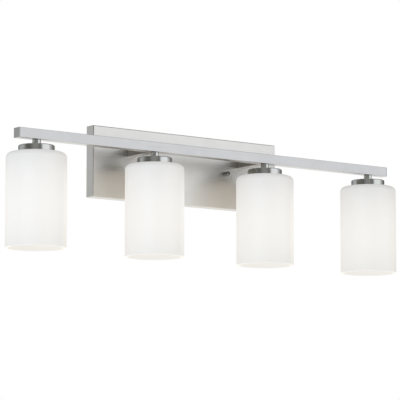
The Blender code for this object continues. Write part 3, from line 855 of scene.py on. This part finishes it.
def makeStem(lamp):
    # the sleeve between the bar and the cap, and the hollow pipe that holds both to the bar
    look = stemLook
    node = f"stem_{lamp}"
    foot, top, radius, place = measure(node)
    profile = fillet([
        (look["hole"], foot), (radius, foot, look["edge"]), (radius, top, look["edge"]), (look["hole"], top),
    ])
    sleeve = turn(profile, look["segments"], place)
    addPiece(f"lampStem{lamp}", [sleeve], node, paint["spunNickel"])
    node = f"nipple_{lamp}"
    foot, top, radius, place = measure(node)
    makeRod(f"lampPipe{lamp}", node, lampPipeLook, radius, place, "up", foot, top)


socketLook = {"barrel": 0.0195, "bore": 0.0149, "floor": 0.0135, "well": 0.0065, "flangeEdge": 0.0008,
              "stepEdge": 0.0006, "footEdge": 0.001, "mouthEdge": 0.0008, "pitch": 0.0025, "depth": 0.0008,
              "steps": 8, "core": 0.97, "threadFoot": 0.001, "threadTop": 0.0045, "segments": 72}


def makeSocket(lamp):
    # porcelain: a flange above the glass, a threaded barrel through it, and a bore for the screw shell
    look = socketLook
    node = f"socket_{lamp}"
    foot, top, flange, place = measure(node)
    barrel = look["barrel"]
    bore = look["bore"]
    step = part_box(f"shade_{lamp}")[1].z + gap
    floor = top - look["floor"]
    well = top - look["well"] - gap
    profile = fillet([
        (capLook["hole"], top), (flange, top, look["flangeEdge"]), (flange, step, look["stepEdge"]),
        (barrel, step), (barrel, foot, look["footEdge"]), (bore, foot, look["mouthEdge"]), (bore, floor),
        (lampPipeLook["bore"], floor), (lampPipeLook["bore"], well), (capLook["hole"], well),
    ])
    body = turnThreaded(profile, look, foot + look["threadFoot"], step - look["threadTop"],
                        barrel * look["core"], place)
    addPiece(f"porcelainSocket{lamp}", [body], node, paint["porcelain"], sharpAngle=55)


# the shell that takes the lamp and the lamp's base are rolled to one thread
lampScrew = {"pitch": 0.00363, "depth": 0.0009, "steps": 10, "segments": 72}
shellLook = {"wall": 0.0005, "hole": 0.006, "fold": 0.001, "innerFold": 0.0006, "threadInner": 0.0135,
             "contactSegments": 48}
# radius, drop below the shell's top, corner radius
springContact = ((0, 0), (0.0045, 0, 0.0002), (0.0045, 0.0006, 0.0003), (0.002, 0.0011, 0.001), (0, 0.0011))


def makeSocketShell(lamp):
    # the rolled brass cup that the lamp screws into, with the contact in its middle
    look = shellLook
    node = f"socket_shell_{lamp}"
    foot, top, radius, place = measure(node, f"socket_{lamp}")
    inner = radius - look["wall"]
    ceiling = top - look["wall"]
    profile = fillet([
        (look["hole"], top), (radius, top, look["fold"]), (radius, foot), (inner, foot),
        (inner, ceiling, look["innerFold"]), (look["hole"], ceiling),
    ])
    shell = turnThreaded(profile, lampScrew, foot, top - look["fold"], look["threadInner"], place)
    button = turn(hang(springContact, top), look["contactSegments"], place, closed=False)
    addThreaded(f"brassScrewShell{lamp}", [shell, button], node, paint["brass"])


ringLook = {"inner": 0.0199, "innerEdge": 0.0005, "outerEdge": 0.0007, "ridges": 48, "depth": 0.0006,
            "margin": 0.0006, "core": 0.97, "step": 0.0008, "segments": 192}


def makeRing(lamp):
    # the threaded ring that holds the glass from inside, with a ridged edge for the fingers
    look = ringLook
    node = f"shade_ring_{lamp}"
    foot, top, radius, place = measure(node)
    profile = fillet([
        (look["inner"], foot, look["innerEdge"]), (radius, foot, look["outerEdge"]),
        (radius, top, look["outerEdge"]), (look["inner"], top, look["innerEdge"]),
    ])
    profile = divideLoop(profile, look["step"])
    grip = ridges(look["ridges"], look["depth"], foot + look["margin"], top - look["margin"],
                  radius * look["core"])
    ring = turn(profile, look["segments"], place, ripple=grip)
    addPiece(f"shadeRing{lamp}", [ring], node, paint["aluminium"], sharpAngle=40)


bulbLook = {"neck": 0.0115, "join": 50, "wall": 0.001, "neckReach": 0.006, "flow": 0.045, "arrival": 0.4,
            "ballPoints": 40, "neckPoints": 24, "segments": 96}


def makeBulbGlass(lamp):
    # a pear-shaped envelope: a sphere's arc up to the join angle, then a cubic that leaves the sphere along
    # its tangent and meets the neck upright; the inside is the outside moved inwards by the wall
    look = bulbLook
    node = f"bulb_glass_{lamp}"
    foot, top, radius, place = measure(node)
    join = math.radians(look["join"])
    arc = np.linspace(-math.pi / 2, join, look["ballPoints"])
    ball = np.stack([radius * np.cos(arc), foot + radius + radius * np.sin(arc)], axis=1)
    t = np.linspace(0, 1, look["neckPoints"] + 1)[1:, None]
    start = ball[-1]
    leave = np.array([-math.sin(join), math.cos(join)]) * look["flow"]
    end = np.array([look["neck"], top - look["neckReach"]])
    arrive = np.array([0, look["arrival"]]) * look["flow"]
    neck = (2 * t ** 3 - 3 * t ** 2 + 1) * start + (t ** 3 - 2 * t ** 2 + t) * leave
    neck = neck + (3 * t ** 2 - 2 * t ** 3) * end + (t ** 3 - t ** 2) * arrive
    outside = np.vstack([ball, neck, [(look["neck"], top)]])
    slope = np.gradient(outside, axis=0)
    slope /= np.linalg.norm(slope, axis=1, keepdims=True)
    inside = outside - look["wall"] * np.stack([slope[:, 1], -slope[:, 0]], axis=1)
    inside[0, 0] = 0
    inside[-1, 1] = top
    glass = turn(np.vstack([outside, inside[::-1]]), look["segments"], place, closed=False)
    addPiece(f"lampEnvelope{lamp}", [glass], node, paint["lampGlass"])


baseLook = {"wall": 0.0006, "roofRadius": 0.01, "roofDrop": 0.005, "roofEdgeDrop": 0.0065,
            "threadDrop": 0.006, "threadRound": 0.001, "threadFoot": 0.003, "insulatorSegments": 64,
            "contactSegments": 48}
# radius, drop below the contact's face, corner radius
crown = ((0, 0.0016), (0.005, 0.0016), (0.0108, 0.004, 0.0006))
insulatorRing = ((0.0046, 0.0008, 0.0002), (0.0106, 0.0034, 0.0002), (0.0106, 0.0042, 0.0002),
                 (0.0046, 0.0019, 0.0002))
solderDrop = ((0, 0.0018), (0.0044, 0.0018), (0.0044, 0.0008, 0.0004), (0.0025, 0, 0.0008), (0, 0))


def makeBulbBase(lamp):
    # the rolled brass screw, the dark glass ring in its crown and the solder contact on top
    look = baseLook
    node = f"bulb_base_{lamp}"
    foot, top, radius, place = measure(node, f"bulb_glass_{lamp}")
    wall = look["wall"]
    profile = hang([
        *crown, (radius, look["threadDrop"], look["threadRound"]), (radius, top - foot),
        (radius - wall, top - foot), (radius - wall, look["roofEdgeDrop"]),
        (look["roofRadius"], look["roofDrop"]), (0, look["roofDrop"]),
    ], top)
    screw = turnThreaded(profile, lampScrew, foot + look["threadFoot"], top - look["threadDrop"],
                         radius - 2 * wall, place, closed=False)
    addThreaded(f"lampScrewBase{lamp}", [screw], node, paint["brass"])
    insulator = turn(hang(insulatorRing, top), look["insulatorSegments"], place)
    addPiece(f"lampInsulator{lamp}", [insulator], node, paint["vitrite"])
    contact = turn(hang(solderDrop, top), look["contactSegments"], place, closed=False)
    addPiece(f"lampContact{lamp}", [contact], node, paint["solder"])


# widths are shares of half the connector's width
connectorLook = {"nose": 0.62, "noseRound": 0.0012, "skirt": 0.004, "skirtRound": 0.001, "rim": 0.0005,
                 "mouth": 0.6, "mouthEdge": 0.0004, "hollow": 0.4, "roof": 0.005, "step": 0.0008,
                 "ribs": 12, "ribDepth": 0.0005, "ribFoot": 0.0035, "ribTop": 0.0012, "core": 0.58,
                 "segments": 120}


def makeConnector(color, nylon):
    # a ribbed nylon cone, hollow from its skirt, lying along the bar's direction
    look = connectorLook
    node = f"wire_nut_{color}"
    low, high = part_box(node)
    middle = middleOf(node)
    wide = (high.z - low.z) / 2
    roof = high.x - look["roof"]
    profile = fillet([
        (0, high.x), (wide * look["nose"], high.x, look["noseRound"]),
        (wide, low.x + look["skirt"], look["skirtRound"]), (wide, low.x, look["rim"]),
        (wide * look["mouth"], low.x, look["mouthEdge"]), (wide * look["hollow"], roof), (0, roof),
    ])
    profile = divide(profile, look["step"])
    ribs = ridges(look["ribs"], look["ribDepth"], low.x + look["ribFoot"], high.x - look["ribTop"],
                  wide * look["core"])
    cone = turn(profile, look["segments"], (0, middle.y, middle.z), "bar", ribs, closed=False)
    addPiece(f"{color}WireConnector", [cone], node, paint[nylon], sharpAngle=50, steady=False)


wireLook = {"radius": 0.001, "bareRadius": 0.0008, "spread": 0.0017, "trunkRise": 0.0025, "footRise": 0.001,
            "overrun": 0.004}


def makeWiring():
    # each supply wire runs from its connector through the left arm and along the bar, with a lead down
    # every lamp pipe; the route keeps to its own side of the pipe
    barMiddle = middleOf("light_bar")
    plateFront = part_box("back_plate")[0].y
    radius = wireLook["radius"]
    trunkHeight = barMiddle.z + wireLook["trunkRise"]
    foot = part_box("nipple_1")[0].z + wireLook["footRise"]
    lampXs = [middleOf(f"stem_{lamp}").x for lamp in range(1, lampCount + 1)]
    armX = middleOf("arm_left").x
    wires = (
        ("black", -1, barMiddle.y - 0.0035, barMiddle.z - 0.0015, "orangeNylon", "orange_nylon"),
        ("white", 1, barMiddle.y + 0.0035, barMiddle.z + 0.0005, "yellowNylon", "yellow_nylon"),
    )
    for color, side, trunkY, armHeight, nylon, nylonSlot in wires:
        nut = middleOf(f"wire_nut_{color}")
        shift = side * wireLook["spread"]
        x = armX + shift
        outward = 0.004 if side < 0 else 0.0
        feed = [
            (nut.x - 0.009, nut.y, nut.z), (nut.x - 0.014, nut.y, nut.z),
            (nut.x - 0.034 - 2 * outward, nut.y, nut.z + 0.001),
            (x - outward / 2 + 0.002, nut.y + 0.002, nut.z + 0.017 + outward),
            (x, -0.006, armHeight - 0.008), (x, -0.0078, armHeight - 0.0013), (x, -0.0122, armHeight),
            (x, plateFront, armHeight), (x, plateFront - 0.012, armHeight),
            (x, barMiddle.y + 0.016, armHeight), (x, trunkY + 0.0025, armHeight + 0.0002),
            (x, trunkY, trunkHeight),
        ]
        shapes = [carry(smoothRoute(feed, 10), radius)]
        reach = lampXs[-1] + wireLook["overrun"]
        trunk = [(-reach, trunkY, trunkHeight), (0, trunkY, trunkHeight), (reach, trunkY, trunkHeight)]
        shapes.append(carry(smoothRoute(trunk, 2), radius))
        for lampX in lampXs:
            dropX = lampX + shift
            drop = [
                (dropX, trunkY, trunkHeight + 0.0003),
                (dropX, (trunkY + barMiddle.y) / 2, trunkHeight - 0.0016),
                (dropX, barMiddle.y, trunkHeight - 0.006), (dropX, barMiddle.y, foot),
            ]
            shapes.append(carry(smoothRoute(drop, 8), radius, lean=(0.92, 0.22, 0.31)))
        pvc = paint[f"{color}Pvc"]
        addPiece(f"{color}SupplyWire", shapes, f"{color}_harness", pvc, steady=False)
        makeConnector(color, nylon)


def makeGroundWire():
    # bare wire from the earth screw to the inside of the plate
    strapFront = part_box("mounting_strap")[0].y
    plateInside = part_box("back_plate")[0].y + plateLook["sheet"]
    y = strapFront - 0.0036
    route = [
        (0.02, y - 0.0004, -0.006), (0.028, y - 0.002, -0.018), (0.048, y - 0.004, -0.027),
        (0.078, y - 0.004, -0.022), (0.099, plateInside + 0.0048, -0.004),
        (0.104, plateInside + 0.0016, 0.006),
    ]
    wire = carry(smoothRoute(route, 12), wireLook["bareRadius"], lean=(0.2, 0.93, 0.3))
    addPiece("earthWire", [wire], "ground_wire", paint["copper"], steady=False)


def makeFloor():
    # a plain pale floor, far below the fixture
    half = studio["floorHalf"]
    count = studio["floorCells"] + 1
    steps = np.linspace(-half, half, count)
    across, away = np.meshgrid(steps, steps)
    points = np.stack([across, away, 0 * across + studio["floorHeight"]], axis=-1).reshape(-1, 3)
    index = np.arange(count * count).reshape(count, count)
    faces = np.stack([index[:-1, :-1], index[:-1, 1:], index[1:, 1:], index[1:, :-1]], axis=-1).reshape(-1, 4)
    mesh = bpy.data.meshes.new("floor")
    mesh.from_pydata(points.tolist(), [], faces.tolist())
    pale = makeMottled("paleFloorPaint", "DCDCDA", "E2E2E0", 0.0, 0.6, 0.7, 0.4)
    shader = pale.node_tree.nodes["Principled BSDF"]
    setInputs(shader, values={"Emission Color": hexColor("E8E8E6"), "Emission Strength": studio["floorGlow"]})
    mesh.materials.append(pale)
    addObject("floor", mesh)


makeCamera()
makeWorld()
makeFillLight()
scene.view_settings.view_transform = "Standard"
print("camera and lights placed")

paint = makeMaterials()
print("materials made:", len(paint))

makeBackPlate()
makeStrap()
for plateSide in sides:
    makeRods(plateSide)
    makeCapNut(plateSide)
makeGroundScrew()
print("wall metalwork made")

makeArms()
makeBar()
makeEndPlugs()
print("arms and bar made")

for lampNumber in range(1, lampCount + 1):
    makeCup(f"opalShade{lampNumber}", f"shade_{lampNumber}", paint["opal"], shadeLook)
    makeCup(f"fitterCup{lampNumber}", f"fitter_cap_{lampNumber}", paint["spunNickel"],
            capLook)
    makeStem(lampNumber)
    makeSocket(lampNumber)
    makeSocketShell(lampNumber)
    makeRing(lampNumber)
    makeBulbGlass(lampNumber)
    makeBulbBase(lampNumber)
print("lamps made")

makeWiring()
makeGroundWire()
makeFloor()
print("wiring and floor made")
